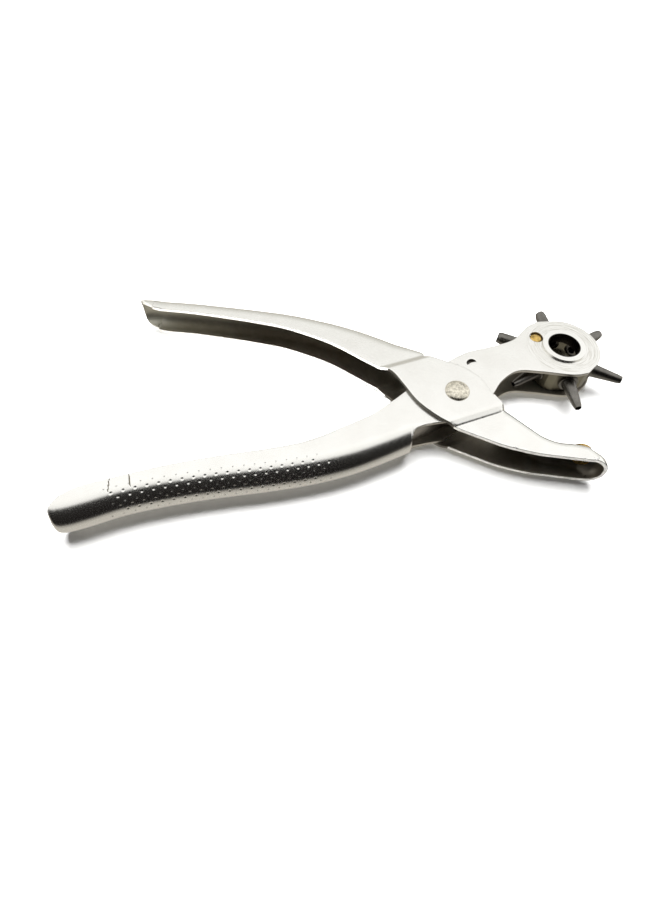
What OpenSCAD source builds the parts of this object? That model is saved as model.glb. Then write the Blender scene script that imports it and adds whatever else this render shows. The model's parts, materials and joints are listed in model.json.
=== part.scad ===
// Rotary hole punch for leather: two pressed steel levers on one rivet,
// a drum of six punch tubes in the upper jaw and a brass anvil in the lower jaw.
// Millimetres. The pivot axis is Z. Z = 0 is the flat foot of the rivet that the tool lies on.

/* [Pressed sheet] */
// Sheet thickness of both levers
sheet = 1.6; // [1.4:0.1:1.8]
// Outside height of a lever channel
channel_height = 15.6; // [15.2:0.1:16.4]
// Bend radius along the back of both handles
handle_radius = 7.6; // [7:0.1:7.6]
// Bend radius along the back of the anvil jaw
jaw_radius = 3.6; // [3:0.1:4]
// Gap between the two levers where they cross
lap_gap = 0.1; // [0.05:0.05:0.2]

/* [Pivot] */
// Rivet shank radius
rivet_r = 3.0; // [2.8:0.1:3.2]
// Rivet head radius
rivet_head_r = 5.0; // [4.6:0.1:5.4]
// Height of the domed upper rivet head
rivet_dome = 1.6; // [1.3:0.1:1.9]
// Thickness of the flat lower rivet head
rivet_foot = 1.2; // [1:0.1:1.5]
// Angle that the anvil lever turns to bring the anvil to the punch
closing_angle = 21.5; // [20:0.5:21.5]

/* [Turret] */
// Drum half width, from its axis to a flat
drum_flat = 14.0; // [13.8:0.1:14.2]
// Radius from the drum axis to the punch tips
tip_radius = 28.5; // [27.5:0.1:28.5]
// Radius of the open hub hole
hub_hole_r = 6.9; // [6.5:0.1:7]
// Radius of the hub flange ring
hub_ring_r = 9.4; // [9:0.1:9.6]
// Cutting diameter of the smallest punch
smallest_cut = 2.0; // [1.8:0.1:2.2]
// Step in cutting diameter from one punch to the next
cut_step = 0.5; // [0.4:0.05:0.5]

/* [Hidden] */
$fn = 72;
eps = 0.01;
half_h = channel_height / 2;
inner_h = half_h - sheet;
lap_in = half_h + lap_gap;
lap_out = lap_in + sheet;
play = 0.05;
running_fit = 0.06;
mid_z = lap_out + play + rivet_foot;
far = 60;

pivot = [0, -1.5];
hub = [51.73, 26.0];
working_angle = -86.3;
station = 60;
punch_count = 6;

// Fold lines of the anvil lever: both run along fold_dir; fold_n is measured across them.
fold_angle = 20.5;
fold_left = 19.3;
fold_right = -13.9;
fold_run = 2.3;

// Drum, hub bushes and index parts, as heights from the mid-plane
drum_half = 5.3;
drum_corner_r = 15.3;
hub_wall = 1.5;
bush_r = hub_hole_r + hub_wall;
drum_bore_r = bush_r + running_fit;
bush_flange = 0.8;
journal = 1.9;
washer_t = 0.5;
strip_t = 0.5;
strip_w = 6;
washer_r = 11;
washer_gap = 0.1;
jaw_end_r = 16.1;

// Index click: a button on a leaf drops into the drum's dimples, all on one circle.
index_circle_r = 12.4;
button_station = 4;
button_angle = working_angle + button_station * station;
button_pos = hub + index_circle_r * [cos(button_angle), sin(button_angle)];
button_hole_r = 3.0;
button_head_r = 2.7;
button_neck_r = 1.25;
nib_r = 0.6;
nib_lift = 0.15;
dimple_r = 1.2;
dimple_depth = 0.6;
anchor_pos = [9, 15.2];
anchor_slot_r = 2.3;
anchor_tab_r = 1.9;
anchor_turn = 24.5;
tab_rise = 0.7;

// Punch tube proportions
tube_r = 3.0;
collar_r = 4.3;
collar_t = 1.2;
tube_wall = 0.4;
edge_wall = 0.12;
seat_in = 5.0;

// Anvil
anvil_gap = 0.15;
anvil_r = 3.8;
anvil_h = 3.0;
anvil_rim = 2.1;
anvil_shank_r = 2.1;
anvil_tail_r = 3.1;
anvil_tail_t = 1.0;
anvil_seat = sheet + 0.7;

// ---- curves ----
function blend_point(a, b, c, d, t) =
    0.5 * (2 * b + (c - a) * t + (2 * a - 5 * b + 4 * c - d) * t * t + (3 * b - a - 3 * c + d) * t * t * t);

// A smooth open curve through the points p, with n steps to each span.
function smooth(p, n) = let (last = len(p) - 1) concat(
    [for (i = [0:last - 1]) for (k = [0:n - 1])
        blend_point(i == 0 ? 2 * p[0] - p[1] : p[i - 1], p[i], p[i + 1],
                    i + 2 > last ? 2 * p[last] - p[last - 1] : p[i + 2], k / n)],
    [p[last]]);

function unit(v) = v / norm(v);
function turn(p, a) = [p[0] * cos(a) - p[1] * sin(a), p[0] * sin(a) + p[1] * cos(a)];
function around(c, r, from, to, n) = [for (i = [0:n]) let (a = from + (to - from) * i / n)
    c + r * [cos(a), sin(a)]];

// Half of a channel section, from the middle of the back to the free edge: [depth, height].
// back is the bend radius at the outer face, skin the distance of this face inside the outer one.
function half_section(width, back, skin, n) =
    let (r = back - skin,
         reach = width >= back ? 90 : acos((back - width) / r),
         rise = half_h - back)
    concat([for (i = [0:n]) [back - r * cos(reach * i / n), rise + r * sin(reach * i / n)]],
           [[max(width, back - r * cos(reach)) + eps, rise + r * sin(reach)]]);

function flip_h(p) = [for (i = [len(p) - 1:-1:0]) [p[i][0], -p[i][1]]];

// Closed loop of a channel section: out along the outer face, back along the inner one.
function channel_section(width, back, n) =
    let (outer = half_section(width, back, 0, n), inner = half_section(width, back, sheet, n))
    concat(flip_h(outer), outer, [for (i = [len(inner) - 1:-1:0]) inner[i]],
           [for (q = inner) [q[0], -q[1]]]);

// A pressed channel along rows of [x, y, flange width]: the back runs through [x, y]
// and both flanges stand to the left of the direction of travel.
module channel(rows, back, steps, n) {
    path = smooth(rows, steps);
    last = len(path) - 1;
    size = len(channel_section(path[0][2], back, n));
    points = [for (i = [0:last])
        let (a = path[max(i - 1, 0)], b = path[min(i + 1, last)],
             t = unit([b[0] - a[0], b[1] - a[1]]))
        for (q = channel_section(path[i][2], back, n))
            [path[i][0] - t[1] * q[0], path[i][1] + t[0] * q[0], q[1]]];
    sides = [for (i = [0:last - 1]) for (k = [0:size - 1])
        let (m = (k + 1) % size)
        [i * size + k, i * size + m, (i + 1) * size + m, (i + 1) * size + k]];
    first_cap = [for (k = [0:size / 2 - 2]) [size - 1 - k, size - 2 - k, k + 1, k]];
    last_cap = [for (k = [0:size / 2 - 2])
        [last * size + k, last * size + k + 1, last * size + size - 2 - k, last * size + size - 1 - k]];
    polyhedron(points, concat(sides, first_cap, last_cap), convexity = 8);
}

module plate(outline, bottom, top) {
    translate([0, 0, bottom])
        linear_extrude(top - bottom)
            polygon(outline);
}

module both_sides() {
    children();
    mirror([0, 0, 1])
        children();
}

module bore(pos, r) {
    translate([pos[0], pos[1], -lap_out - 1])
        cylinder(r = r, h = 2 * lap_out + 2);
}

// ---- punch lever: lower handle and upper jaw ----
punch_handle = [[-147.8, -57.6, 3], [-146.2, -58.5, 6.2], [-142, -57.9, 9.8], [-135, -55.5, 11.2], [-124, -51.4, 10.8],
                [-108, -47.4, 11.5], [-90, -44.1, 12.3], [-74, -41.7, 12.8], [-58, -38.6, 13.6],
                [-44, -34.6, 15.6], [-32, -29.7, 18], [-20.5, -24.3, 20.7], [-11, -19.6, 16]];

function jaw_outline() = concat(
    [[-34, -18], [-34, -9.6], [-29.6, -5.4], [-20.5, 1], [0, 17]],
    smooth([[4, 19.6], [10, 22.5], [20, 25.5], [30, 29.8], [37, 37.4], [43, 41.3]], 5),
    around(hub, jaw_end_r, 88, -38, 16),
    smooth([[59.5, 10.9], [52, 9.5], [38, 11.1], [28, 11.2], [20.5, 6], [15.5, -1]], 5),
    [[-5, -15.3], [-13, -16.8], [-16, -11]]);

// The back of the punch lever stops short of the pivot.
function back_cut() = concat([[-19.5, -50], [-19.5, -21]],
    smooth([[-18.6, -19.4], [-16.8, -18.2], [-13, -16.8]], 3), [[-5, -15.3], [-5, -50]]);

module half_moon(pos, r) {
    translate([pos[0], pos[1], 0])
        rotate(anchor_turn)
            intersection() {
                cylinder(r = r, h = half_h + 1);
                translate([-r, 0, 0])
                    cube([2 * r, r, half_h + 1]);
            }
}

module punch_lever() {
    color("gainsboro")
        difference() {
            union() {
                difference() {
                    channel(punch_handle, handle_radius, 4, 5);
                    plate(back_cut(), -lap_out, lap_out);
                }
                both_sides()
                    plate(jaw_outline(), inner_h, half_h);
            }
            bore(pivot, rivet_r);
            bore(hub, bush_r);
            translate([button_pos[0], button_pos[1], 0])
                cylinder(r = button_hole_r, h = half_h + 1);
            half_moon(anchor_pos, anchor_slot_r);
        }
}

// ---- anvil lever: upper handle and lower jaw ----
anvil_handle = [[-139.2, -54.4, 3.2], [-136, -55, 7.6], [-127, -54, 9.2], [-114, -53, 9.6],
                [-99, -51.2, 10.2], [-84, -49.2, 11], [-70, -46.9, 12], [-57, -43.6, 13.6],
                [-45, -39.8, 15.4], [-33, -34.8, 17.8], [-22, -29.3, 20], [-13.5, -24.4, 16],
                [-6, -19.4, 9]];

jaw_bend = 4.2;
anvil_jaw = [[16.8, 7.2, jaw_bend], [22, 11.2, jaw_bend], [27.3, 16.2, jaw_bend], [32.3, 20.9, jaw_bend],
             [37.5, 23.3, jaw_bend], [43, 24, jaw_bend], [48.4, 25, jaw_bend], [52.4, 27.3, jaw_bend],
             [54.4, 30.4, jaw_bend], [54.8, 33.2, jaw_bend]];

function lap_outline() = concat(
    [[-28, 24.6], [-17, 20.4]],
    smooth([[-12, 18], [-7, 16.4], [-2, 14.6], [4.2, 11.7], [8.6, 8.3], [11.9, 4], [14.1, -2.1], [15.6, -8], [19, -13]], 4),
    smooth([[24.4, -18.6], [29.6, -23.6], [36.4, -27.2], [42.6, -28], [47.4, -28.8], [50.2, -30.6],
            [50.9, -32.9]], 3),
    smooth([[46.5, -32.6], [35.9, -31.3], [28.7, -30.3], [21.7, -28.6], [14.6, -26.4], [7.7, -23.3],
            [-1.7, -18.9], [-8.8, -14.6], [-16.4, -7], [-21.8, 2.3], [-25.5, 8.6], [-31.4, 13.6]], 4));

// Flat sheet stepped outwards between the two folds, seen along the folds: [across, height].
step_profile = [[-far, inner_h], [fold_right - fold_run, inner_h], [fold_right, lap_in], [fold_left, lap_in],
                [fold_left + fold_run, inner_h], [far, inner_h], [far, half_h],
                [fold_left + fold_run, half_h], [fold_left, lap_out], [fold_right, lap_out],
                [fold_right - fold_run, half_h], [-far, half_h]];

module stepped_sheet() {
    rotate([0, 0, fold_angle])
        translate([far, 0, 0])
            rotate([90, 0, -90])
                linear_extrude(2 * far)
                    polygon([for (q = step_profile) [-q[0], q[1]]]);
}

module beyond_left_fold() {
    rotate([0, 0, fold_angle])
        translate([-3 * far, fold_left + fold_run, -lap_out])
            cube([4 * far, 2 * far, 2 * lap_out]);
}

// The anvil stands where the working punch meets it when the lever is closed.
working_dir = [cos(working_angle), sin(working_angle)];
anvil_top = pivot + turn(hub + (tip_radius + anvil_gap) * working_dir - pivot, -closing_angle);
anvil_normal = working_angle + 180 - closing_angle;

module at_anvil() {
    translate([anvil_top[0], anvil_top[1], 0])
        rotate([0, 0, anvil_normal])
            rotate([0, 90, 0])
                children();
}

module anvil_lever() {
    color("silver")
        difference() {
            union() {
                intersection() {
                    mirror([0, 1, 0])
                        channel(anvil_handle, handle_radius, 4, 5);
                    beyond_left_fold();
                }
                mirror([0, 1, 0])
                    channel(anvil_jaw, jaw_radius, 4, 4);
                both_sides()
                    intersection() {
                        plate(lap_outline(), 0, lap_out + 1);
                        stepped_sheet();
                    }
            }
            bore(pivot, rivet_r + running_fit);
            at_anvil()
                translate([0, 0, -anvil_h - anvil_seat - anvil_tail_t])
                    cylinder(r = anvil_shank_r, h = anvil_h + anvil_seat);
        }
}

module anvil() {
    color("goldenrod")
        at_anvil()
            rotate_extrude()
                polygon(concat(
                    [[0, -anvil_h - anvil_seat - anvil_tail_t], [anvil_tail_r, -anvil_h - anvil_seat - anvil_tail_t],
                     [anvil_tail_r, -anvil_h - anvil_seat], [anvil_shank_r, -anvil_h - anvil_seat],
                     [anvil_shank_r, -anvil_h], [anvil_r, -anvil_h], [anvil_r, -anvil_h + anvil_rim]],
                    smooth([[anvil_r - 0.25, -0.7], [anvil_r - 1, -0.25], [anvil_r - 2.2, 0], [0, 0]], 3)));
}

// ---- pivot ----
module pivot_rivet() {
    seat = lap_out + play;
    rim = 0.2;
    color("lightgray")
        translate([pivot[0], pivot[1], 0])
            rotate_extrude()
                polygon(concat(
                    [[0, -seat - rivet_foot], [rivet_head_r - 0.8, -seat - rivet_foot], [rivet_head_r - 0.3, -seat],
                     [rivet_r, -seat], [rivet_r, seat], [rivet_head_r, seat]],
                    [for (a = [0:6:90]) [rivet_head_r * cos(a), seat + rim + (rivet_dome - rim) * sin(a)]]));
}

module ring(outer, inner, bottom, top) {
    translate([0, 0, bottom])
        difference() {
            cylinder(r = outer, h = top - bottom);
            translate([0, 0, -1])
                cylinder(r = inner, h = top - bottom + 2);
        }
}

module pivot_spacer() {
    color("darkgray")
        translate([pivot[0], pivot[1], 0])
            ring(spacer_r, rivet_r + play, -inner_h + play, inner_h - play);
}

// Leaf spring: a strip bent round the spacer with a leg in each handle.
spacer_r = 4.6;
coil_r = 5.5;
leaf_t = 0.8;
leaf_half = 5;
punch_leg = [-44, -27.6];
anvil_leg = [-42, 32.6];

function leg_angle(tip, side) = let (d = tip - pivot) atan2(d[1], d[0]) - side * acos(coil_r / norm(d));

module opening_spring() {
    low = leg_angle(punch_leg, -1);
    high = leg_angle(anvil_leg, 1);
    line = concat([punch_leg], around(pivot, coil_r, low, high, 20), [anvil_leg]);
    last = len(line) - 1;
    function across(i) = let (t = unit(line[min(i + 1, last)] - line[max(i - 1, 0)])) [-t[1], t[0]];
    color("dimgray")
        plate(concat([for (i = [0:last]) line[i] + across(i) * leaf_t / 2],
                     [for (i = [last:-1:0]) line[i] - across(i) * leaf_t / 2]), -leaf_half, leaf_half);
}

// ---- turret ----
module hub_bush() {
    translate([hub[0], hub[1], 0]) {
        ring(bush_r, hub_hole_r, drum_half - journal, half_h + bush_flange);
        ring(hub_ring_r, hub_hole_r, half_h, half_h + bush_flange);
    }
}

module upper_hub_bush() {
    color("whitesmoke")
        hub_bush();
}

module lower_hub_bush() {
    color("whitesmoke")
        mirror([0, 0, 1])
            hub_bush();
}

module turret_washer() {
    color("silver")
        translate([hub[0], hub[1], 0])
            ring(washer_r, drum_bore_r + washer_gap, -inner_h + washer_gap, -inner_h + washer_gap + washer_t);
}

module at_station(k) {
    translate([hub[0], hub[1], 0])
        rotate([0, 0, working_angle + k * station])
            children();
}

module turret_drum() {
    color("darkkhaki")
        difference() {
            translate([hub[0], hub[1], -drum_half])
                intersection() {
                    cylinder(r = drum_corner_r, h = 2 * drum_half);
                    rotate([0, 0, working_angle + station / 2])
                        cylinder(r = drum_flat / cos(station / 2), h = 2 * drum_half, $fn = punch_count);
                }
            bore(hub, drum_bore_r);
            for (k = [0:punch_count - 1])
                at_station(k) {
                    rotate([0, 90, 0])
                        cylinder(r = tube_r, h = drum_flat + 4);
                    translate([index_circle_r, 0, drum_half - dimple_depth])
                        cylinder(r = dimple_r, h = 2 * dimple_depth);
                }
        }
}

function cut_r(k) = (smallest_cut + k * cut_step) / 2;

// Tube k stands at this station: the sizes rise anticlockwise from the one before the working place.
function tube_station(k) = k - 1;

module punch_tube(k) {
    bore_r = cut_r(k);
    root = drum_flat - seat_in;
    color("dimgray")
        at_station(tube_station(k))
            rotate([0, 90, 0])
                rotate_extrude()
                    polygon([[bore_r, root], [tube_r, root], [tube_r, drum_flat], [collar_r, drum_flat],
                             [collar_r, drum_flat + collar_t - 0.3], [collar_r - 0.3, drum_flat + collar_t],
                             [tube_r + 0.1, drum_flat + collar_t], [bore_r + tube_wall + 0.1, tip_radius - 1.6],
                             [bore_r + edge_wall, tip_radius], [bore_r, tip_radius]]);
}

// ---- index click ----
strip_top = inner_h - play;
strip_bottom = strip_top - strip_t;
strip_angle = atan2(button_pos[1] - anchor_pos[1], button_pos[0] - anchor_pos[0]);
strip_length = norm(button_pos - anchor_pos);

module index_spring() {
    color("silver")
        translate([anchor_pos[0], anchor_pos[1], strip_bottom])
            difference() {
                union() {
                    rotate([0, 0, strip_angle]) {
                        cylinder(r = strip_w / 2, h = strip_t);
                        translate([0, -strip_w / 2, 0])
                            cube([strip_length, strip_w, strip_t]);
                        translate([strip_length, 0, 0])
                            cylinder(r = strip_w / 2, h = strip_t);
                    }
                    translate([-anchor_pos[0], -anchor_pos[1], -strip_bottom])
                        intersection() {
                            half_moon(anchor_pos, anchor_tab_r);
                            translate([anchor_pos[0] - strip_w, anchor_pos[1] - strip_w, strip_bottom])
                                cube([2 * strip_w, 2 * strip_w, strip_t + tab_rise]);
                        }
                }
                rotate([0, 0, strip_angle])
                    translate([strip_length, 0, -1])
                        cylinder(r = button_neck_r + play, h = 4);
            }
}

module index_button() {
    color("goldenrod")
        translate([button_pos[0], button_pos[1], 0])
            rotate_extrude()
                polygon([[0, drum_half + nib_lift], [nib_r, drum_half + nib_lift], [1, drum_half + 0.5],
                         [button_neck_r, drum_half + 0.5], [button_neck_r, strip_top],
                         [button_head_r, strip_top], [button_head_r, strip_top + 0.7],
                         [button_head_r - 0.5, strip_top + 1.1], [0, strip_top + 1.3]]);
}

// ---- assembly ----
translate([-pivot[0], -pivot[1], mid_z]) {
    punch_lever();
    pivot_rivet();
    pivot_spacer();
    upper_hub_bush();
    lower_hub_bush();
    turret_washer();
    index_spring();
    index_button();
    anvil_lever();
    anvil();
    opening_spring();
    turret_drum();
    punch_tube(0);  // punch_tube_1
    punch_tube(1);  // punch_tube_2
    punch_tube(2);  // punch_tube_3
    punch_tube(3);  // punch_tube_4
    punch_tube(4);  // punch_tube_5
    punch_tube(5);  // punch_tube_6
}
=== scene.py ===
import json
import math

import bmesh
import bpy
import numpy as np
from mathutils import Matrix, Vector
from mathutils.geometry import delaunay_2d_cdt


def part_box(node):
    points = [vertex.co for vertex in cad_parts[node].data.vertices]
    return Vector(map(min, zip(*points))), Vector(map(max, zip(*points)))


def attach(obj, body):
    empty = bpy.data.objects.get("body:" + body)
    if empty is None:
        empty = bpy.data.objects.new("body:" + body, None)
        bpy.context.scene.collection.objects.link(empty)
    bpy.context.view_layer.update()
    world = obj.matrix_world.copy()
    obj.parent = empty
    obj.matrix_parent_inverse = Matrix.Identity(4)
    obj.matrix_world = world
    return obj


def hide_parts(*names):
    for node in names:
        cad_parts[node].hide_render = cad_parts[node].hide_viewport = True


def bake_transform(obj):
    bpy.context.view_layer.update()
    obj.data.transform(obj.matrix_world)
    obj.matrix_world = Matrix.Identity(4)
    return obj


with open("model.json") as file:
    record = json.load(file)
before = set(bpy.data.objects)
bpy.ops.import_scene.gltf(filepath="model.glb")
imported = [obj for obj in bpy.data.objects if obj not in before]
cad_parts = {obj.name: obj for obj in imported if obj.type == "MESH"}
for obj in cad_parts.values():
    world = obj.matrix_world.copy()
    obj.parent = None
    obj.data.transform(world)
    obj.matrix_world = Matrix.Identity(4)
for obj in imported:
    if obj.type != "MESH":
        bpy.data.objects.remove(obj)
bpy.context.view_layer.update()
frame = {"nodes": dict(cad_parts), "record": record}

# ---------------------------------------------------------------- sizes, in mm
MM = 0.001                       # in metres
SHEET = 1.6                      # thickness of the pressed sheet
RIM, RIM_STEPS = 0.28, 3         # rounding of its cut edges, and faces in each rounding
HALF_H = 7.8                     # half the height of a lever
HANDLE_R = 7.6                   # bend radius of the handles' backs
JAW_R = 3.6                      # bend radius of the anvil jaw's back
LAP_IN = HALF_H + 0.1            # inner face of the anvil lever where it laps over the punch lever
PIVOT = np.array([0.0, -1.5])    # in the drawing's plane, as are the places below
PUNCH_PIVOT_R, ANVIL_PIVOT_R = 3.0, 3.06
HUB = np.array([51.73, 26.0])
HUB_HOLE_R = 8.4
HEAD_R = 16.1                    # round end of the punch lever's jaw
WORKING = math.radians(-86.3)    # direction of the working tube from the hub
STATION = math.radians(60)
BUTTON_CIRCLE, WINDOW_R = 12.4, 3.0
ANCHOR, ANCHOR_R, ANCHOR_TURN = np.array([9, 15.2]), 2.3, math.radians(24.5)
NOSE = np.array([50.05, -32.75])

# the anvil lever steps out between two folds, which slant at FOLD across it
FOLD = math.radians(20.5)
FOLD_LEFT, FOLD_RIGHT, FOLD_RUN = 19.3, -13.9, 2.3
# the left fold is this much wider, and reaches this far of it outward; the right one rises through these
# places by these shares of the step
LEFT_WIDER, LEFT_OUTWARD = 1.4, 0.9
RIGHT_AT = [-0.1, 0.0, 0.35, 0.5, 2.4, 3.2, 3.7]
RIGHT_RISE = [0, 0.01, 0.27, 0.32, 0.90, 0.985, 1]

# dimples in the punch lever's handle: spacing along it and round it, radius, depth, lip round each,
# and the x at which they begin and end
PITCH, ROW_GAP, DENT_R, DENT_D, LIP = 3.95, 1.8, 0.52, 0.32, 0.035
DIMPLES_FROM, DIMPLES_TO = -128.8, -49

# opening spring: leg ends, radius of the turn round the pivot, half thickness, half width, edge chamfer
PUNCH_LEG, ANVIL_LEG = np.array([-44, -27.6]), np.array([-42, 32.6])
COIL_R, LEAF_T, LEAF_H, LEAF_EDGE = 5.5, 0.4, 5.0, 0.18

lever_lo, lever_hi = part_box("punch_lever")
MID_Z = (lever_lo.z + lever_hi.z) / 2 / MM

# places in a lever's list of materials
OUTER, INNER, EDGE, MARK, SHADED = range(5)


# ---------------------------------------------------------------- plane geometry
def direction(angle):
    return np.array([math.cos(angle), math.sin(angle)])


def unit(v):
    return v / np.linalg.norm(v)


def smooth(w):
    return w * w * (3 - 2 * w)


def heading(path, i):
    """Direction of the path at its point i, in plan."""
    return unit(path[min(i + 1, len(path) - 1)][:2] - path[max(i - 1, 0)][:2])


def place(points):
    """mm points of the drawing, their z from the tool's mid-plane, to metres in the row frame."""
    p = np.asarray(points, float).reshape(-1, 3)
    return (p + [-PIVOT[0], -PIVOT[1], MID_Z]) * MM


def spline(rows, steps):
    """Smooth curve through the rows, with the given number of steps in each span."""
    p = np.asarray(rows, float)
    q = np.vstack([2 * p[0] - p[1], p, 2 * p[-1] - p[-2]])
    if np.isscalar(steps):
        steps = [steps] * (len(p) - 1)
    out = []
    for i in range(len(p) - 1):
        a, b, c, d = q[i:i + 4]
        for k in range(steps[i]):
            t = k / steps[i]
            out.append(0.5 * (2 * b + (c - a) * t + (2 * a - 5 * b + 4 * c - d) * t * t
                              + (3 * b - a - 3 * c + d) * t ** 3))
    out.append(p[-1])
    return np.array(out)


def arc(centre, r, start, end, n):
    a = np.radians(np.linspace(start, end, n + 1))
    return np.stack([centre[0] + r * np.cos(a), centre[1] + r * np.sin(a)], 1)


def circle(centre, r, n):
    return arc(centre, r, 0, 360, n)[:-1]


def turned(points, angle):
    """Plane points turned about the origin."""
    c, s = math.cos(angle), math.sin(angle)
    return np.column_stack([points[:, 0] * c - points[:, 1] * s, points[:, 0] * s + points[:, 1] * c])


def resample(line, gap):
    """Points along a polyline no further apart than gap; its own corners stay."""
    out = []
    for a, b in zip(line[:-1], line[1:]):
        n = max(1, int(math.ceil(np.linalg.norm(b - a) / gap)))
        out += [a + (b - a) * k / n for k in range(n)]
    out.append(line[-1])
    return np.array(out)


def inside(points, loop):
    """Which points lie inside the closed loop."""
    x, y = points[:, 0], points[:, 1]
    hit = np.zeros(len(points), bool)
    for a, b in zip(loop, np.roll(loop, -1, axis=0)):
        if a[1] == b[1]:
            continue
        cross = ((a[1] > y) != (b[1] > y)) & (x < (b[0] - a[0]) * (y - a[1]) / (b[1] - a[1]) + a[0])
        hit ^= cross
    return hit


def distance(points, line):
    """Distance from each point to the polyline."""
    best = np.full(len(points), 1e9)
    for a, b in zip(line[:-1], line[1:]):
        d = b - a
        t = np.clip(((points - a) @ d) / max(d @ d, 1e-12), 0, 1)
        best = np.minimum(best, np.linalg.norm(points - (a + t[:, None] * d), axis=1))
    return best


def grid_points(lo, hi, gap, turn):
    """A net of points at the corners of equal triangles over the box, its rows along the direction turn."""
    row_gap = 0.866
    c, s = math.cos(turn), math.sin(turn)
    centre = (np.array(lo) + hi) / 2
    n = int(np.linalg.norm(np.array(hi) - lo) / 2 / gap) + 2
    rows = []
    # the rows lie closer than the points in a row, so it takes more of them to cover the box
    for j in range(-int(n * 1.16), int(n * 1.16) + 1):
        for i in range(-n, n + 1):
            u, v = (i + 0.5 * (j % 2)) * gap, j * gap * row_gap
            rows.append([centre[0] + u * c - v * s, centre[1] + u * s + v * c])
    return np.array(rows)


def flat_mesh(outline, holes, gap, turn=0.0, extra=None):
    """Points and triangles over a plane region with holes: its own corners, a net of points gap apart, and
    the extra points."""
    loops = [np.asarray(outline)] + [np.asarray(h) for h in holes]
    loops = [q[np.linalg.norm(q - np.roll(q, 1, axis=0), axis=1) > 0.003] for q in loops]
    verts, edges = [], []
    for loop in loops:
        base = len(verts)
        verts += [tuple(p) for p in loop]
        edges += [(base + i, base + (i + 1) % len(loop)) for i in range(len(loop))]
    net = grid_points(loops[0].min(0), loops[0].max(0), gap, turn)
    if extra is not None:
        net = np.vstack([net, extra])
    keep = inside(net, loops[0])
    for loop in loops[1:]:
        keep &= ~inside(net, loop)
    net = net[keep]
    far = np.full(len(net), 1e9)
    for loop in loops:
        far = np.minimum(far, distance(net, np.vstack([loop, loop[:1]])))
    # a net point close to an edge would make slivers with it
    verts += [tuple(p) for p in net[far > gap * 0.45]]
    co, _, faces, _, _, _ = delaunay_2d_cdt([Vector(v) for v in verts], edges, [], 0, 1e-6)
    pts = np.array([[v.x, v.y] for v in co])
    mid = np.array([pts[list(f)].mean(0) for f in faces])
    ok = inside(mid, loops[0])
    for loop in loops[1:]:
        ok &= ~inside(mid, loop)
    return pts, [tuple(f) for f, k in zip(faces, ok) if k]


# ---------------------------------------------------------------- pressed sheet
def new_object(name, verts, faces):
    me = bpy.data.meshes.new(name)
    me.from_pydata([tuple(p) for p in verts], [], faces)
    obj = bpy.data.objects.new(name, me)
    bpy.context.scene.collection.objects.link(obj)
    return obj


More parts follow.
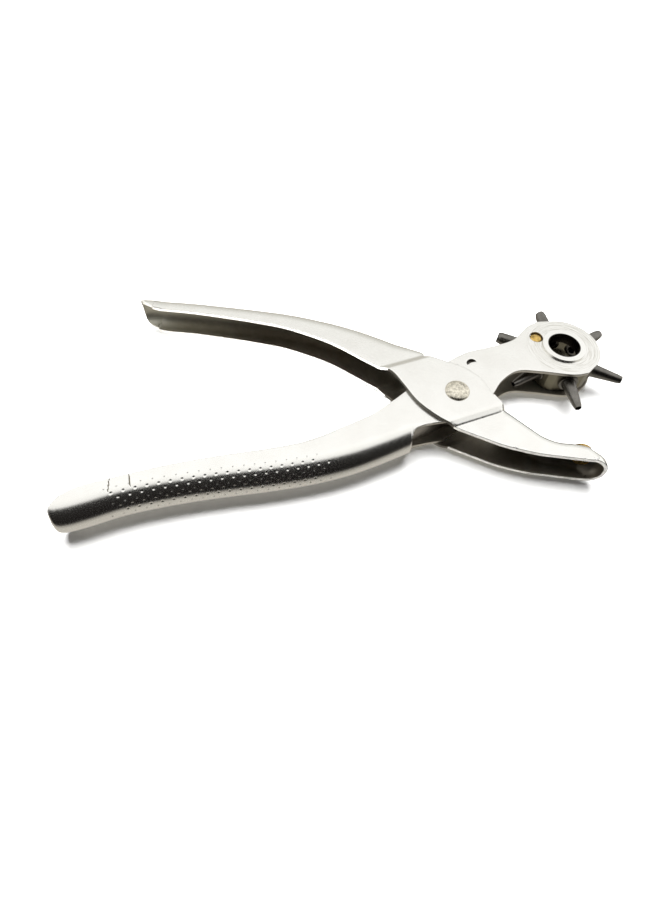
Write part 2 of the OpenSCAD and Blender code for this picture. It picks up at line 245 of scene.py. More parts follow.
class Sheet:
    """Collects patches of one outer surface, in mm, and turns them into one pressed piece."""

    def __init__(self):
        self.verts, self.faces = [], []

    def add(self, verts, faces):
        base = len(self.verts)
        self.verts += [tuple(v) for v in verts]
        self.faces += [tuple(base + i for i in f) for f in faces]

    def grid(self, rings):
        """Quads over rings of equal length."""
        n = len(rings[0])
        faces = [(i * n + k, i * n + k + 1, (i + 1) * n + k + 1, (i + 1) * n + k)
                 for i in range(len(rings) - 1) for k in range(n - 1)]
        self.add(np.vstack(rings), faces)

    def grid_both(self, rings):
        """Quads over the rings and over their mirror image below the mid-plane."""
        self.grid(rings)
        self.grid([q * [1, 1, -1] for q in rings])

    def plates(self, outline, top_holes, low_holes, gap, height, turn=0.0, extra=None):
        """The upper plate and the lower one, which mirrors it."""
        for sign, holes in ((1, top_holes), (-1, low_holes)):
            pts, faces = flat_mesh(outline, holes, gap, turn, extra)
            if sign < 0:
                faces = [f[::-1] for f in faces]
            self.add(np.column_stack([pts, sign * height(pts)]), faces)

    def outer_surface(self):
        """The patches joined: points, normals and faces, and for each point of the free edge the directions
        out of the surface and the point that comes after it."""
        bm = bmesh.new()
        made = [bm.verts.new(p) for p in self.verts]
        for f in self.faces:
            bm.faces.new([made[i] for i in f])
        bmesh.ops.remove_doubles(bm, verts=bm.verts, dist=0.004)
        bmesh.ops.dissolve_degenerate(bm, dist=1e-4, edges=bm.edges)
        bmesh.ops.delete(bm, geom=[v for v in bm.verts if not v.link_faces], context="VERTS")
        bmesh.ops.recalc_face_normals(bm, faces=bm.faces)
        top = max(bm.faces, key=lambda f: f.calc_center_median().z + f.normal.z * f.normal.z)
        if top.normal.z < 0:
            bmesh.ops.reverse_faces(bm, faces=bm.faces)
        bm.normal_update()
        bm.verts.index_update()
        points = [np.array(v.co) for v in bm.verts]
        normals = [np.array(v.normal) for v in bm.verts]
        for i, q in enumerate(points):
            if abs(q[2]) > HALF_H - 0.002:
                normals[i] = np.array([0, 0, math.copysign(1, q[2])])
        faces = [tuple(v.index for v in f.verts) for f in bm.faces]
        ways_out, after = {}, {}
        for e in bm.edges:
            if len(e.link_loops) != 1:
                continue
            loop = e.link_loops[0]
            i, j = loop.vert.index, loop.link_loop_next.vert.index
            d = points[j] - points[i]
            d = d / max(np.linalg.norm(d), 1e-9)
            side = np.cross(d, np.array(loop.face.normal))
            after[i] = j
            for k in (i, j):
                ways_out.setdefault(k, []).append(side)
        bm.free()
        return points, normals, faces, ways_out, after

    def build(self, name, plated_to, marked=None, shaded=None):
        """One closed piece: the outer surface, the same surface a sheet thickness in, and round rims. The
        rims are plated where x is below plated_to; marked says where the outer surface is scored, and
        shaded where the rim lies in shadow and gets a dark edge as painted shade."""
        outer, normals, faces, ways_out, after = self.outer_surface()
        verts = [q.copy() for q in outer]
        inner_at = len(verts)
        verts += [q - n * SHEET for q, n in zip(outer, normals)]
        rows = {}
        for i, sides in ways_out.items():
            n = normals[i]
            out = sum(sides)
            out = out - n * (out @ n)
            length = np.linalg.norm(out)
            # at a corner the rim reaches further, so that it keeps its width along both edges
            stretch = min(2 / max(length, 0.8), 1.6) if len(sides) == 2 else 1.0
            out = out / max(length, 1e-9) * stretch
            base, deep = outer[i] - out * RIM, outer[i] - n * SHEET - out * RIM
            verts[i], verts[inner_at + i] = base, deep
            row = [i]
            for k in range(1, RIM_STEPS + 1):
                t = math.pi / 2 * k / RIM_STEPS
                row.append(len(verts))
                verts.append(base + out * RIM * math.sin(t) - n * RIM * (1 - math.cos(t)))
            for k in range(RIM_STEPS, 0, -1):
                t = math.pi / 2 * k / RIM_STEPS
                row.append(len(verts))
                verts.append(deep + out * RIM * math.sin(t) + n * RIM * (1 - math.cos(t)))
            row.append(inner_at + i)
            rows[i] = row
        kinds = [OUTER] * len(faces) + [INNER] * len(faces)
        faces += [tuple(inner_at + i for i in reversed(f)) for f in faces]
        for i, j in after.items():
            for k in range(2 * RIM_STEPS + 1):
                faces.append((rows[j][k], rows[i][k], rows[i][k + 1], rows[j][k + 1]))
                kinds.append(OUTER if k < RIM_STEPS - 1 else (EDGE if k < RIM_STEPS + 2 else INNER))
        for i, f in enumerate(faces):
            q = verts[f[0]]
            if kinds[i] == EDGE and q[0] < plated_to:
                kinds[i] = OUTER
            if kinds[i] == EDGE and shaded is not None and shaded(q):
                kinds[i] = SHADED
            if kinds[i] == OUTER and marked is not None and marked(np.mean([verts[k] for k in f], axis=0)):
                kinds[i] = MARK
        obj = new_object(name, place(verts), faces)
        for p, kind in zip(obj.data.polygons, kinds):
            p.use_smooth = True
            p.material_index = kind
        obj.modifiers.new("shading", "WEIGHTED_NORMAL").weight = 90
        return obj


def half_profile(width, back, n_arc, n_flat):
    """Outer face of half a channel from the middle of its back to the free edge: depth, height."""
    reach = math.pi / 2 if width >= back else math.acos((back - width) / back)
    rise = HALF_H - back
    if width < back + 0.6:
        # a narrow section near a tip: the points are spread evenly along it
        pts = []
        for d in np.linspace(0, back * reach + max(width - back, 0), n_arc + n_flat + 1):
            t = min(d / back, reach)
            pts.append((back - back * math.cos(t) + d - t * back, rise + back * math.sin(t)))
        return np.array(pts)
    pts = [(back - back * math.cos(t), rise + back * math.sin(t)) for t in np.linspace(0, reach, n_arc + 1)]
    edge = width + 0.01
    for k in range(1, n_flat + 1):
        pts.append((pts[n_arc][0] + (edge - pts[n_arc][0]) * k / n_flat, pts[n_arc][1]))
    return np.array(pts)


def bend_profile(r, low, n):
    """Part of a rolled bend, from the angle low up to the plate: depth, height."""
    a = np.linspace(low, math.pi / 2, n + 1)
    return np.column_stack([r * (1 - np.cos(a)), HALF_H - r + r * np.sin(a)])


def whole(half):
    """A section from its upper half."""
    return np.vstack([half[::-1] * [1, -1], half[1:]])


def stand(foot, facing, profile):
    """A profile's points stood at foot, its depth along facing."""
    depth, height = profile[:, 0], profile[:, 1]
    return np.column_stack([foot[0] + facing[0] * depth, foot[1] + facing[1] * depth, height])


def sweep(path, n_arc, n_flat, side, hold, lean_from=None, lean=None):
    """Rings of a handle's channel along path rows [x, y, flange width]; side 1 puts the flanges to the left.
    The first rings all face as ring hold does, so that the rounded tip is cut clean.
    Beyond lean_from the rings turn gradually to face along lean."""
    rings = []
    last = len(path) - 1
    for i, row in enumerate(path):
        t = heading(path, max(i, hold))
        facing = np.array([-t[1], t[0]]) * side
        if lean_from is not None and i > lean_from:
            w = smooth((i - lean_from) / (last - lean_from))
            facing = facing * (1 - w) + np.array(lean) * w
        rings.append(stand(row, facing, whole(half_profile(row[2], HANDLE_R, n_arc, n_flat))))
    return rings


# ---------------------------------------------------------------- punch lever
PUNCH_HANDLE = [[-146.85, -57.6, 3], [-145.25, -58.42, 6.2], [-141.5, -57.75, 9.8], [-135, -55.5, 11.2],
                [-124, -51.4, 10.8], [-108, -47.4, 11.5], [-90, -44.1, 12.3], [-74, -41.7, 12.8],
                [-58, -38.6, 13.6], [-44, -34.6, 15.6], [-32, -29.7, 18], [-19.6, -23.8, 25]]
# many short steps where the dimples are
PUNCH_STEPS = [5, 8, 14, 44, 68, 74, 66, 66, 56, 18, 14]
N_ARC, N_FLAT = 44, 6
# past its last full ring the web runs out: x along the lever and the angle, in degrees, at which the bend
# starts there; over that length the back moves down by the drop
RUN_OUT_FROM, RUN_OUT_LENGTH, RUN_OUT_DROP = -19.6, 8, 0.3
RUN_OUT = [(-19.45, 38), (-19.2, 52), (-18.6, 66), (-17.8, 71.5), (-16.8, 75.5), (-15, 81), (-13, 86),
           (-11.5, 89.5)]
# two old tool marks: place along the handle and slant
TOOL_MARKS = [(-126.6, -0.2), (-120.4, 0.04)]
MARK_HALF_W, MARK_DEPTH = 0.2, 0.12
# how far the marks' middle lies from the back's line, and their reach to both sides of it
MARK_ACROSS, MARK_LOW, MARK_HIGH = 8.0, -2.6, 2.7


def press_dimples(path, rings):
    """Staggered rows of round dimples, each with a faint lip, pressed into the handle's back."""
    along = np.concatenate([[0], np.cumsum(np.linalg.norm(np.diff(path[:, :2], axis=0), axis=1))])
    first = along[np.argmin(abs(path[:, 0] - DIMPLES_FROM))]
    final = along[np.argmin(abs(path[:, 0] - DIMPLES_TO))]
    half = half_profile(12, HANDLE_R, N_ARC, N_FLAT)
    step = np.concatenate([[0], np.cumsum(np.linalg.norm(np.diff(half, axis=0), axis=1))])
    across = np.concatenate([-step[:0:-1], step])
    for i, ring in enumerate(rings):
        x = along[i]
        if x < first - 2 or x > final + 2:
            continue
        t = heading(path, i)
        for k, v in enumerate(across):
            row = round(v / ROW_GAP)
            if abs(row) > 6:
                continue
            shift = 0.5 * PITCH * (row % 2)
            centre_x = round((x - shift) / PITCH) * PITCH + shift
            # the rows do not all begin and end together
            if centre_x < first + 1.8 * ((row * 5) % 3) or centre_x > final - 1.5 * ((row * 3) % 4):
                continue
            q = math.hypot(x - centre_x, v - row * ROW_GAP) / DENT_R
            if q < 1.5:
                a = max(-math.pi / 2, min(v / HANDLE_R, math.pi / 2))
                inward = np.array([-t[1] * math.cos(a), t[0] * math.cos(a), -math.sin(a)])
                depth = DENT_D * max(0.0, 1 - q * q) ** 1.5 - LIP * math.exp(-((q - 1.15) / 0.22) ** 2)
                ring[k] += inward * depth


def mark_finder(path):
    """A test for points on the tool marks, which cross the upper flange near the tip."""
    tracks = []
    for at, slant in TOOL_MARKS:
        i = int(np.argmin(abs(path[:, 0] - at)))
        t = heading(path, i)
        foot = path[i][:2] + MARK_ACROSS * np.array([-t[1], t[0]])
        tracks.append((foot, turned(t[None], slant)[0]))

    def on_mark(q):
        if q[2] < 5.5 or not -136 < q[0] < -112:
            return False
        for foot, t in tracks:
            d = q[:2] - foot
            if abs(d @ t) < MARK_HALF_W and MARK_LOW < -t[1] * d[0] + t[0] * d[1] < MARK_HIGH:
                return True
        return False

    return on_mark


def window():
    """The round hole that shows the index button."""
    return circle(HUB + BUTTON_CIRCLE * direction(WORKING + 4 * STATION), WINDOW_R, 40)


def half_moon():
    """The lanced slot that holds the index spring: flat below, round above."""
    round_side = arc((0, 0), ANCHOR_R, 2, 178, 18)
    flat_side = spline([[-ANCHOR_R, 0.1], [0, 0.55], [ANCHOR_R, 0.1]], 6)[1:-1]
    return ANCHOR + turned(np.vstack([round_side, flat_side]), ANCHOR_TURN)


def punch_outline(tail, flange):
    """Outline of the flat plates: back along the bend, round the jaw and back under it."""
    bend = np.array([q[-1][:2] for q in tail])
    upper = resample(np.array([flange[-1], [-12, 7.9], [0, 17]]), 0.8)
    jaw = spline([[0, 17], [4.5, 19.9], [10, 22.5], [20, 25.5], [30, 29.8], [37, 37.4], [43, 41.3]], 12)
    end = arc(HUB, HEAD_R, 88, -38, 60)
    arch = spline([[59.5, 10.9], [52, 9.5], [38, 11.1], [28, 11.2], [20.5, 6], [15.5, -1]], 14)
    lower = resample(np.array([[15.5, -1], [-5, -15.3]]), 0.8)
    return np.vstack([bend[::-1], flange[1:], upper[1:], jaw[1:], end, arch[1:], lower[1:]])


def punch_lever():
    s = Sheet()
    path = spline(PUNCH_HANDLE, PUNCH_STEPS)
    rings = sweep(path, N_ARC, N_FLAT, side=1, hold=27, lean_from=len(path) - 30, lean=(0.02, 1.0))
    centre = len(rings[0]) // 2
    press_dimples(path, rings)
    on_mark = mark_finder(path)
    for ring in rings:
        for q in ring[centre:]:
            if on_mark(q):
                q[2] -= MARK_DEPTH
    s.grid(rings)
    # beyond the end of the web only the upper and lower bends carry on, running out into the flat plates
    last = rings[-1]
    tail = [last[centre:centre + N_ARC + 1]]
    for x, low in RUN_OUT:
        y = last[centre][1] - RUN_OUT_DROP * (x - RUN_OUT_FROM) / RUN_OUT_LENGTH
        tail.append(stand((x, y), (0, 1), bend_profile(HANDLE_R, math.radians(low), N_ARC)))
    s.grid_both(tail)
    outline = punch_outline(tail, last[centre + N_ARC:, :2])
    holes = [circle(PIVOT, PUNCH_PIVOT_R, 40), circle(HUB, HUB_HOLE_R, 72)]
    s.plates(outline, holes + [window(), half_moon()], holes, 1.3, lambda pts: np.full(len(pts), HALF_H))
    return s.build("punch_lever_sheet", plated_to=-138, marked=on_mark)


# ---------------------------------------------------------------- anvil lever
ANVIL_HANDLE = [[-139.6, 54.0, 0.15], [-139.1, 54.3, 1.2], [-138, 54.75, 2.9], [-135.5, 54.98, 5.6],
                [-131, 54.7, 8.1], [-127, 54, 9.2], [-114, 53, 9.6], [-99, 51.2, 10.2],
                [-84, 49.2, 11], [-70, 46.9, 12], [-57, 43.6, 13.6], [-45, 39.8, 15.4], [-33, 34.8, 17.8],
                [-22, 29.3, 19.4]]
ANVIL_STEPS = [4, 4, 6, 8, 8, 10, 10, 10, 10, 10, 10, 10, 12]
ANVIL_ARC, JAW_ARC, WEB_STEPS = 16, 12, 4
# the handle's back beyond its last full ring
BACK_END = [[-22, 29.3], [-17.4, 26.7], [-13, 24.1], [-9.4, 21.6]]
# the nose is a fan of rings about one point: angles in degrees, how its radius grows and its centre drifts
NOSE_FROM, NOSE_TURN, NOSE_STEPS = 60, 72, 14
NOSE_R, NOSE_GROWTH, NOSE_DRIFT = 6.1, 0.9, np.array([-1.15, -0.12])
# the lower jaw's back: place and bend radius
ANVIL_JAW = [[15.0, -2.9, JAW_R], [16.3, -5.2, JAW_R], [18.0, -7.3, JAW_R], [22.3, -11.3, JAW_R],
             [27.3, -16.2, JAW_R], [32.3, -20.9, JAW_R], [37.5, -23.3, JAW_R], [43, -24, JAW_R],
             [48.4, -25.1, 3.9], [51.0, -26.2, 5.0], [53.1, -27.47, NOSE_R]]
JAW_STEPS = [4, 8, 24, 8, 8, 8, 8, 8, 6, 6]
# the x at which the jaw's back starts to grow out of the plate, and over what length it does
JAW_BEND_FROM, JAW_BEND_RUN = 16.6, 3.8


def across_fold(p):
    """Distance of plane points from the drawing's origin, measured square to the folds."""
    return -p[:, 0] * math.sin(FOLD) + p[:, 1] * math.cos(FOLD)


def lap_height(p):
    """Height of the anvil lever's outer face, stepped out between the two folds. The left fold is a soft
    slope; the right one rises at a crease and then eases into the flat."""
    n = across_fold(p)
    left = smooth(np.clip((FOLD_LEFT + FOLD_RUN + LEFT_OUTWARD - n) / (FOLD_RUN + LEFT_WIDER), 0, 1))
    right = np.interp(n - (FOLD_RIGHT - FOLD_RUN), RIGHT_AT, RIGHT_RISE)
    return HALF_H + (LAP_IN + SHEET - HALF_H) * np.minimum(left, right)


def fold_net():
    """Net points set close together along the bands of the two folds, and a little beyond their edges."""
    across, along, length = 0.32, 0.8, 60
    rows = []
    for start, begin in ((FOLD_RIGHT - FOLD_RUN, -30), (FOLD_LEFT, -40)):
        for n in np.arange(start - 0.9, start + FOLD_RUN + 1.0, across):
            rows += [(u, n) for u in np.arange(begin, begin + length, along)]
    return turned(np.array(rows), FOLD)


def over_the_gap(q):
    """Whether a point lies between the folds, where the edge stands off the punch lever in shadow and its
    rim is painted dark as shade.
    """
    return FOLD_RIGHT - FOLD_RUN + 0.3 < across_fold(q[None])[0] < FOLD_LEFT - 0.3


def raised(foot, facing, profile):
    """A profile lifted so that its bend meets the plate at the lap height."""
    bend_at = foot[:2] + facing * profile[-1, 0]
    return profile + [0, lap_height(bend_at[None])[0] - HALF_H]


def back_run_out(last):
    """Upper halves of the back beyond its last full ring, which taper off into the flat plate."""
    line = spline(BACK_END, 6)
    centre = len(last) // 2
    out = [last[centre:centre + ANVIL_ARC + 1]]
    for i in range(1, len(line)):
        t = heading(line, i)
        facing = np.array([t[1], -t[0]])
        w = i / (len(line) - 1)
        low = math.pi / 2 * min(1 - math.sqrt(max(0.0, 1 - w ** 1.3)), 0.96)
        half = bend_profile(HANDLE_R * (1 - 0.55 * w), low, ANVIL_ARC)
        out.append(stand(line[i], facing, raised(line[i], facing, half)))
    return out


def jaw_back():
    """Rows [x, y, bend radius] of the lower jaw's back and the way it faces at each. At its end it turns
    about the nose, which is a plain round loop."""
    rows = spline(ANVIL_JAW, JAW_STEPS)
    ways = []
    for i in range(len(rows)):
        t = heading(rows, i)
        ways.append(np.array([t[1], -t[0]]))
    ways[-1] = -direction(math.radians(NOSE_FROM))
    for k in range(1, NOSE_STEPS + 1):
        out = direction(math.radians(NOSE_FROM - NOSE_TURN * k / NOSE_STEPS))
        r = NOSE_R + NOSE_GROWTH * k / NOSE_STEPS
        centre = NOSE + NOSE_DRIFT * k / NOSE_STEPS
        rows = np.vstack([rows, [*(centre + r * out), r]])
        ways.append(-out)
    return rows, ways


def jaw_rings():
    """The lower jaw's back: upper halves while it grows out of the plate, then whole rings."""
    rows, ways = jaw_back()
    grown = int(np.argmin(abs(rows[:, 0] - (JAW_BEND_FROM + JAW_BEND_RUN))))
    growing, full = [], []
    for i, (row, facing) in enumerate(zip(rows, ways)):
        w = min(max((row[0] - JAW_BEND_FROM) / JAW_BEND_RUN, 0), 1)
        half = bend_profile(row[2], math.pi / 2 * 0.97 * (1 - smooth(w)), JAW_ARC)
        half[:, 0] -= half[0, 0]
        half = raised(row, facing, half)
        if i <= grown:
            growing.append(stand(row, facing, half))
        if i >= grown:
            heights = np.linspace(0, half[0, 1], WEB_STEPS + 1)[:-1]
            web = np.column_stack([np.zeros(WEB_STEPS), heights])
            full.append(stand(row, facing, whole(np.vstack([web, half]))))
    return growing, full


def anvil_outline(tail, jaw_line, flange):
    """Outline of the flat plates: along the handle's bend, the jaw and back under it."""
    bend = np.array([q[-1][:2] for q in tail])
    upper = spline([bend[-1], [-6.6, 16.6], [-2, 14.6], [4.2, 11.7], [8.6, 8.3], [11.9, 4], [13.7, -0.8],
                    jaw_line[0]], 8)
    lower = spline([jaw_line[-1], [46.5, -32.7], [35.9, -31.3], [28.7, -30.3], [21.7, -28.6], [14.6, -26.4],
                    [7.7, -23.3], [-1.7, -18.9], [-8.8, -14.6], [-16.4, -7], [-21.8, 2.3], [-25.5, 8.2],
                    flange[-1]], 8)
    return np.vstack([bend, resample(upper, 0.3)[1:], jaw_line[1:], resample(lower, 0.45)[1:-1],
                      flange[:0:-1]])


def anvil_lever():
    s = Sheet()
    rings = sweep(spline(ANVIL_HANDLE, ANVIL_STEPS), ANVIL_ARC, N_FLAT, side=-1, hold=22)
    s.grid(rings)
    last = rings[-1]
    tail = back_run_out(last)
    s.grid_both(tail)
    growing, full = jaw_rings()
    s.grid_both(growing)
    jaw_line = np.array([q[-1][:2] for q in growing[:-1] + full])
    flange = last[len(last) // 2 + ANVIL_ARC:, :2]
    hole = circle(PIVOT, ANVIL_PIVOT_R, 40)
    s.plates(anvil_outline(tail, jaw_line, flange), [hole], [hole], 1.1, lap_height, FOLD, fold_net())
    s.grid(full)
    return s.build("anvil_lever_sheet", plated_to=-137, shaded=over_the_gap)


levers = {"punch_lever": punch_lever(), "anvil_lever": anvil_lever()}
for body, obj in levers.items():
    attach(obj, body)
    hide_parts(body)


# ---------------------------------------------------------------- opening spring
def opening_spring():
    """A leaf bent round the pivot, one leg in each handle."""
    def leg_angle(tip, side):
        d = tip - PIVOT
        opening = math.degrees(math.acos(COIL_R / np.linalg.norm(d)))
        return math.degrees(math.atan2(d[1], d[0])) - side * opening

    turn = arc(PIVOT, COIL_R, leg_angle(PUNCH_LEG, -1), leg_angle(ANVIL_LEG, 1), 48)
    line = np.vstack([resample(np.array([PUNCH_LEG, turn[0]]), 1.5), turn[1:-1],
                      resample(np.array([turn[-1], ANVIL_LEG]), 1.5)])
    t, h, c = LEAF_T, LEAF_H, LEAF_EDGE
    section = np.array([(t - c, h), (-t + c, h), (-t, h - c), (-t, -h + c), (-t + c, -h), (t - c, -h),
                        (t, -h + c), (t, h - c)])
    verts, faces = [], []
    for i, foot in enumerate(line):
        d = heading(line, i)
        verts.append(stand(foot, (-d[1], d[0]), section))
    n = len(section)
    final = n * (len(line) - 1)
    for i in range(0, final, n):
        faces += [(i + k, i + (k + 1) % n, i + n + (k + 1) % n, i + n + k) for k in range(n)]
    faces += [tuple(range(n - 1, -1, -1)), tuple(final + k for k in range(n))]
    obj = new_object("opening_spring_leaf", place(np.vstack(verts)), faces)
    bm = bmesh.new()
    bm.from_mesh(obj.data)
    bmesh.ops.recalc_face_normals(bm, faces=bm.faces)
    bm.to_mesh(obj.data)
    bm.free()
    return obj


leaf = opening_spring()
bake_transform(leaf)
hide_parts("opening_spring")


# ---------------------------------------------------------------- shader nodes
def new_material(name):
    m = bpy.data.materials.new(name)
    m.use_nodes = True
    return m, m.node_tree, m.node_tree.nodes["Principled BSDF"]


def base_colour(nt):
    """The socket of the base colour and what feeds it now."""
    socket = nt.nodes["Principled BSDF"].inputs["Base Color"]
    return socket, socket.links[0].from_socket


def coordinates(nt, kind="Object"):
    """X, Y and Z of a texture coordinate."""
    co = nt.nodes.new("ShaderNodeTexCoord")
    xyz = nt.nodes.new("ShaderNodeSeparateXYZ")
    nt.links.new(co.outputs[kind], xyz.inputs["Vector"])
    return xyz.outputs


def noise(nt, scale, detail, stretch=None):
    co = nt.nodes.new("ShaderNodeTexCoord")
    mp = nt.nodes.new("ShaderNodeMapping")
    nt.links.new(co.outputs["Object"], mp.inputs["Vector"])
    if stretch:
        mp.inputs["Scale"].default_value = stretch
    n = nt.nodes.new("ShaderNodeTexNoise")
    n.inputs["Scale"].default_value = scale
    n.inputs["Detail"].default_value = detail
    n.inputs["Roughness"].default_value = 0.55
    nt.links.new(mp.outputs["Vector"], n.inputs["Vector"])
    return n.outputs["Fac"]


def ramp(nt, source, stops):
    """Colour stops (place, colour) along the source's value."""
    r = nt.nodes.new("ShaderNodeValToRGB")
    while len(r.color_ramp.elements) < len(stops):
        r.color_ramp.elements.new(0.5)
    for e, (pos, col) in zip(r.color_ramp.elements, stops):
        e.position = pos
        e.color = (*col, 1)
    nt.links.new(source, r.inputs["Fac"])
    return r.outputs["Color"]


def mixed(nt, kind, fac, a, b):
    m = nt.nodes.new("ShaderNodeMix")
    m.data_type = "RGBA"
    m.blend_type = kind
    if isinstance(fac, float):
        m.inputs["Factor"].default_value = fac
    else:
        nt.links.new(fac, m.inputs["Factor"])
    for sock, v in ((m.inputs[6], a), (m.inputs[7], b)):
        if isinstance(v, tuple):
            sock.default_value = (*v, 1)
        else:
            nt.links.new(v, sock)
    return m.outputs[2]


def between(nt, value, start, end, low=0.0, high=1.0, kind="LINEAR"):
    """The value's way from start to end, given as low to high and held at both beyond."""
    m = nt.nodes.new("ShaderNodeMapRange")
    m.interpolation_type = kind
    for label, number in (("From Min", start), ("From Max", end), ("To Min", low), ("To Max", high)):
        m.inputs[label].default_value = number
    nt.links.new(value, m.inputs["Value"])
    return m.outputs["Result"]


def maths(nt, operation, *values):
    """One step of arithmetic on numbers and sockets."""
    m = nt.nodes.new("ShaderNodeMath")
    m.operation = operation
    for socket, v in zip(m.inputs, values):
        if isinstance(v, float):
            socket.default_value = v
        else:
            nt.links.new(v, socket)
    return m.outputs[0]


def hub_polar(nt):
    """Distance from the hub's axis, in metres, and the angle round it."""
    hub = place([[*HUB, 0]])[0]
    xyz = coordinates(nt)
    x, y = maths(nt, "SUBTRACT", xyz["X"], float(hub[0])), maths(nt, "SUBTRACT", xyz["Y"], float(hub[1]))
    flat = nt.nodes.new("ShaderNodeCombineXYZ")
    nt.links.new(x, flat.inputs["X"])
    nt.links.new(y, flat.inputs["Y"])
    far = nt.nodes.new("ShaderNodeVectorMath")
    far.operation = "LENGTH"
    nt.links.new(flat.outputs[0], far.inputs[0])
    return far.outputs["Value"], maths(nt, "ARCTAN2", y, x)


# ---------------------------------------------------------------- materials
def metal(name, base, worn, rough, grain=900, stretch=(1, 12, 12), bump=0.04, blotch=90):
    """Metal with worn blotches and a fine grain; rough is its least and greatest roughness."""
    m, nt, bsdf = new_material(name)
    bsdf.inputs["Metallic"].default_value = 1.0
    fine = noise(nt, grain, 5, stretch)
    tone = ramp(nt, noise(nt, blotch, 6), [(0.30, worn), (0.62, base)])
    lines = ramp(nt, fine, [(0.35, tuple(c * 0.86 for c in base)), (0.62, base)])
    nt.links.new(mixed(nt, "MIX", 0.4, tone, lines), bsdf.inputs["Base Color"])
    nt.links.new(between(nt, fine, 0.3, 0.7, *rough), bsdf.inputs["Roughness"])
    b = nt.nodes.new("ShaderNodeBump")
    b.inputs["Strength"].default_value = bump
    b.inputs["Distance"].default_value = 0.0002
    nt.links.new(fine, b.inputs["Height"])
    nt.links.new(b.outputs["Normal"], bsdf.inputs["Normal"])
    return m


def plate_inside_painted_shade():
    """The plate's inner side, dark with painted shade for the channels' insides and the space between the
    plates; the painted shade lightens toward the handles' tips.
    """
    m = metal("nickel_inside_painted_shade", (0.34, 0.31, 0.26), (0.22, 0.195, 0.155), (0.42, 0.62),
              500, (1, 8, 8), 0.1, 160)
    nt = m.node_tree
    colour, old = base_colour(nt)
    # the painted shade lightens toward the handles' tips
    tip = between(nt, coordinates(nt)["X"], -0.085, -0.138)
    nt.links.new(mixed(nt, "MIX", tip, old, (0.62, 0.60, 0.52)), colour)
    return m


def cut_edge_with_painted_glow():
    """A sheared edge, pale, with a faint painted glow that makes it look lit from every side."""
    m = metal("cut_edge", (0.84, 0.82, 0.77), (0.42, 0.40, 0.35), (0.3, 0.5), 900, (2, 2, 2), 0.3, 700)
    bsdf = m.node_tree.nodes["Principled BSDF"]
    bsdf.inputs["Metallic"].default_value = 0.3
    # painted light: a faint glow stands in for light the edge would catch
    bsdf.inputs["Emission Color"].default_value = (0.9, 0.88, 0.82, 1)
    bsdf.inputs["Emission Strength"].default_value = 0.10
    return m


def bush_with_painted_shade_in_bore():
    """Plated bush whose bore is painted near black, as painted shade in the deep hole."""
    m = metal("bush_plate", (0.88, 0.87, 0.84), (0.80, 0.79, 0.76), (0.14, 0.28))
    nt = m.node_tree
    radius, _ = hub_polar(nt)
    colour, old = base_colour(nt)
    beyond_painted_shade = between(nt, radius, 0.00695, 0.0073, kind="SMOOTHSTEP")
    # painted shade: inside this radius the bore is near black
    nt.links.new(mixed(nt, "MIX", beyond_painted_shade, (0.035, 0.03, 0.024), old), colour)
    return m


def turned_plate(plate):
    """A copy of the plate with fine turning marks round the hub."""
    m = plate.copy()
    m.name = "nickel_turned"
    nt = m.node_tree
    radius, angle = hub_polar(nt)
    ring_at = nt.nodes.new("ShaderNodeCombineXYZ")
    nt.links.new(radius, ring_at.inputs["X"])
    nt.links.new(maths(nt, "MULTIPLY", angle, 0.00035), ring_at.inputs["Y"])
    grooves = nt.nodes.new("ShaderNodeTexNoise")
    grooves.inputs["Scale"].default_value = 4200
    grooves.inputs["Detail"].default_value = 3
    nt.links.new(ring_at.outputs[0], grooves.inputs["Vector"])
    lines = ramp(nt, grooves.outputs["Fac"], [(0.38, (0.72, 0.71, 0.67)), (0.52, (1, 1, 1))])
    near_hub = maths(nt, "SUBTRACT", 1.0, between(nt, radius, 0.0125, 0.0195, kind="SMOOTHSTEP"))
    colour, old = base_colour(nt)
    nt.links.new(mixed(nt, "MIX", near_hub, old, mixed(nt, "MULTIPLY", 1.0, old, lines)), colour)
    return m


NICKEL = metal("nickel_plate", (0.86, 0.85, 0.82), (0.80, 0.785, 0.75), (0.16, 0.30))
TURNED = turned_plate(NICKEL)
INSIDE_PAINTED_SHADE = plate_inside_painted_shade()
CUT = cut_edge_with_painted_glow()
CUT_DARK = metal("cut_edge_dark", (0.60, 0.58, 0.53), (0.40, 0.38, 0.34), (0.3, 0.5),
                 900, (2, 2, 2), 0.15, 300)
# painted shade: a near-black cut edge where the anvil lever's rim lies in shadow over the gap
PAINTED_SHADE_EDGE = metal("cut_edge_painted_shade", (0.20, 0.19, 0.17), (0.10, 0.095, 0.085), (0.3, 0.5),
            900, (2, 2, 2), 0.15, 300)
SCORED = metal("scored_mark", (0.20, 0.18, 0.14), (0.10, 0.09, 0.07), (0.4, 0.6), 700, (2, 2, 2), 0.2, 300)
RIVET = metal("rivet_steel", (0.86, 0.81, 0.69), (0.04, 0.03, 0.02), (0.2, 0.5), 900, (1, 1, 1), 0.9, 1000)
BUSH = bush_with_painted_shade_in_bore()
SPRING = metal("spring_steel", (0.42, 0.40, 0.37), (0.30, 0.28, 0.25), (0.25, 0.45))
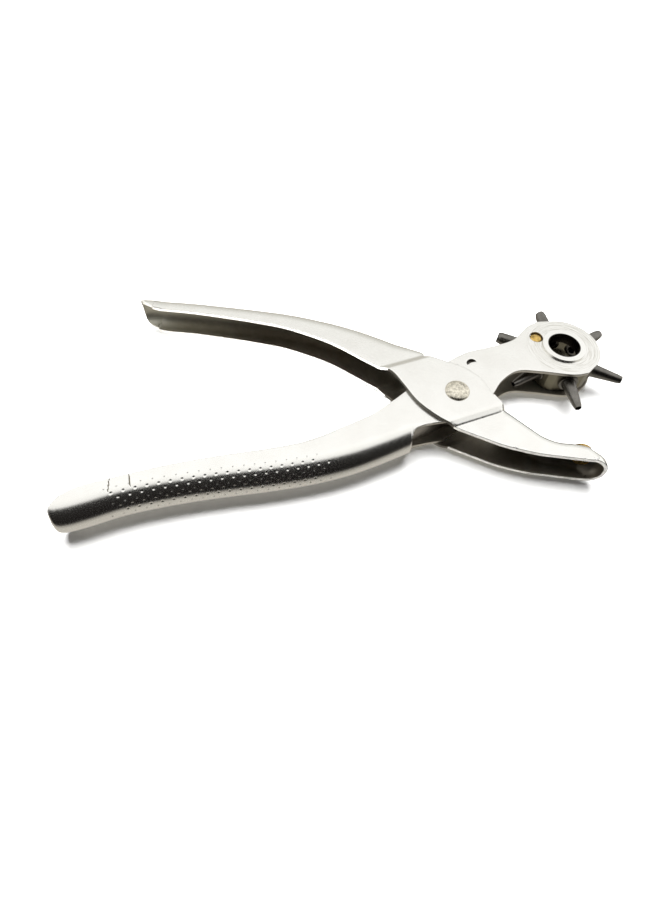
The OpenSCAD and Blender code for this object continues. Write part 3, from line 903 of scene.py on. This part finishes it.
# painted shade: near-black steel for the index spring, which lies in shade under the plate and shows only
# through the slot
SPRING_PAINTED_SHADE = metal("spring_steel_painted_shade", (0.09, 0.085, 0.075), (0.05, 0.045, 0.04), (0.3, 0.5))
DRUM = metal("drum_steel", (0.27, 0.25, 0.19), (0.15, 0.14, 0.10), (0.3, 0.5), 700, (1, 1, 14), 0.1)
PUNCH = metal("punch_steel", (0.20, 0.19, 0.175), (0.10, 0.095, 0.085), (0.22, 0.38),
              800, (6, 6, 6), 0.1, 260)
BRASS = metal("brass", (0.74, 0.50, 0.16), (0.05, 0.033, 0.01), (0.18, 0.42), 700, (1, 1, 1), 0.8, 850)

slots = {"lever_steel": NICKEL, "rivet_steel": RIVET, "bush_steel": BUSH, "spring_steel": SPRING,
         "drum_steel": DRUM, "punch_steel": PUNCH, "brass": BRASS}
# each lever's materials, in the order OUTER, INNER, EDGE, MARK, SHADED
lever_coats = {"punch_lever": (TURNED, INSIDE_PAINTED_SHADE, CUT_DARK, SCORED, PAINTED_SHADE_EDGE),
               "anvil_lever": (NICKEL, INSIDE_PAINTED_SHADE, CUT, SCORED, PAINTED_SHADE_EDGE)}


def coat(obj, mats):
    obj.data.materials.clear()
    for mat in mats:
        obj.data.materials.append(mat)


# the index spring gets the near-black painted-shade steel
for part in frame["record"]["subparts"]:
    node = frame["nodes"][part["node"]]
    coat(node, [SPRING_PAINTED_SHADE if part["node"] == "index_spring" else slots[part["material_slot"]]])
# the turned pieces each carry one flat sliver from their seams; welding the seam closes it
for name in ("anvil", "index_button", "pivot_rivet"):
    frame["nodes"][name].modifiers.new("weld", "WELD").merge_threshold = 2e-6
leaf.data.materials.append(SPRING)
for body, obj in levers.items():
    for mat in lever_coats[body]:
        obj.data.materials.append(mat)


# ---------------------------------------------------------------- stage
# what the metal mirrors on the side that the camera stands
DARK = (0.012, 0.011, 0.010)


def floor_material():
    """A pale floor. Glossy rays see a painted emission in its place, dark in front of the tool and pale
    under and behind it, so the metal shows a painted reflection.
    """
    m, nt, bsdf = new_material("pale_floor")
    bsdf.inputs["Base Color"].default_value = (0.93, 0.93, 0.92, 1)
    bsdf.inputs["Roughness"].default_value = 0.7
    bsdf.inputs["Specular IOR Level"].default_value = 0.1
    bsdf.inputs["Emission Color"].default_value = (1, 1, 0.99, 1)
    bsdf.inputs["Emission Strength"].default_value = 0.06
    xyz = coordinates(nt)
    behind = between(nt, maths(nt, "MULTIPLY_ADD", xyz["X"], -0.30, xyz["Y"]), -0.050, -0.024)
    glow = nt.nodes.new("ShaderNodeEmission")
    nt.links.new(ramp(nt, behind, [(0.0, DARK), (1.0, (0.62, 0.59, 0.53))]), glow.inputs["Color"])
    # glossy rays see the painted emission instead of the lit floor
    ray = nt.nodes.new("ShaderNodeLightPath")
    pick = nt.nodes.new("ShaderNodeMixShader")
    nt.links.new(ray.outputs["Is Glossy Ray"], pick.inputs[0])
    nt.links.new(bsdf.outputs[0], pick.inputs[1])
    nt.links.new(glow.outputs[0], pick.inputs[2])
    nt.links.new(pick.outputs[0], nt.nodes["Material Output"].inputs["Surface"])
    return m


def room():
    """The room is pale above and behind the tool and dark on the side that the camera stands. The camera
    itself sees a plain grey, and the room lights no diffuse surface."""
    world = bpy.data.worlds.new("studio")
    world.use_nodes = True
    nt = world.node_tree
    behind = between(nt, coordinates(nt, "Generated")["Y"], -1, 1)
    walls = ramp(nt, behind, [(0.0, DARK), (0.29, (0.014, 0.013, 0.012)), (0.37, (0.84, 0.84, 0.82)),
                              (0.60, (0.96, 0.96, 0.94)), (0.79, (0.96, 0.96, 0.95)),
                              (0.835, (0.80, 0.80, 0.78)), (0.93, (0.70, 0.70, 0.67)),
                              (1.0, (0.52, 0.51, 0.47))])
    ray = nt.nodes.new("ShaderNodeLightPath")
    background = nt.nodes["Background"]
    background.inputs["Strength"].default_value = 1.3
    nt.links.new(mixed(nt, "MIX", ray.outputs["Is Camera Ray"], walls, (0.74, 0.74, 0.73)),
                 background.inputs["Color"])
    world.cycles_visibility.diffuse = False
    return world


def area(name, place_at, aim, size, power):
    d = bpy.data.lights.new(name, "AREA")
    d.shape = "RECTANGLE"
    d.size, d.size_y = size
    d.energy = power
    o = bpy.data.objects.new(name, d)
    bpy.context.scene.collection.objects.link(o)
    o.location = place_at
    o.rotation_euler = (Vector(aim) - Vector(place_at)).to_track_quat("-Z", "Y").to_euler()
    o.visible_glossy = False
    return o


floor = new_object("floor", [(-3, -3, 0), (3, -3, 0), (3, 3, 0), (-3, 3, 0)], [(0, 1, 2, 3)])
coat(floor, [floor_material()])
bpy.context.scene.world = room()

# the metal mirrors the room and not the lights, which are there for the pale floor
area("key", (-0.02, 0.34, 1.0), (0.0, 0.0, 0.0), (0.95, 0.85), 41)
# a small soft light over the gap between the handles keeps the floor there pale
fill = area("fill", (-0.072, 0.002, 0.042), (-0.072, 0.012, 0.0), (0.13, 0.02), 0.14)
fill.visible_camera = False

# ---------------------------------------------------------------- camera
# the photo's view: down from level, turned about the line of sight, and swung about the vertical
TILT, ROLL, SWING = math.radians(52.984), math.radians(4.2157), math.radians(-4.4)
CAMERA_X, CAMERA_Y, CAMERA_OVER_TOOL = -0.05384, -0.13898, 0.1818


def camera():
    data = bpy.data.cameras.new("camera")
    data.sensor_width = 36
    data.lens = 22
    # shift of the lens, as a share of the picture's longer side
    data.shift_x, data.shift_y = -1 / 45, -7 / 150
    data.clip_start = 0.01
    cam = bpy.data.objects.new("camera", data)
    bpy.context.scene.collection.objects.link(cam)
    fwd = Vector((0, math.cos(TILT), -math.sin(TILT)))
    level = Vector((1, 0, 0))
    upright = level.cross(fwd)
    right = level * math.cos(ROLL) + upright * math.sin(ROLL)
    up = upright * math.cos(ROLL) - level * math.sin(ROLL)
    swing = Matrix.Rotation(SWING, 3, "Z")
    m = Matrix((swing @ right, swing @ up, -(swing @ fwd))).transposed().to_4x4()
    m.translation = Vector((CAMERA_X, CAMERA_Y, MID_Z * MM + CAMERA_OVER_TOOL))
    cam.matrix_world = m
    return cam


bpy.context.scene.camera = camera()
bpy.context.scene.view_settings.view_transform = "Standard"
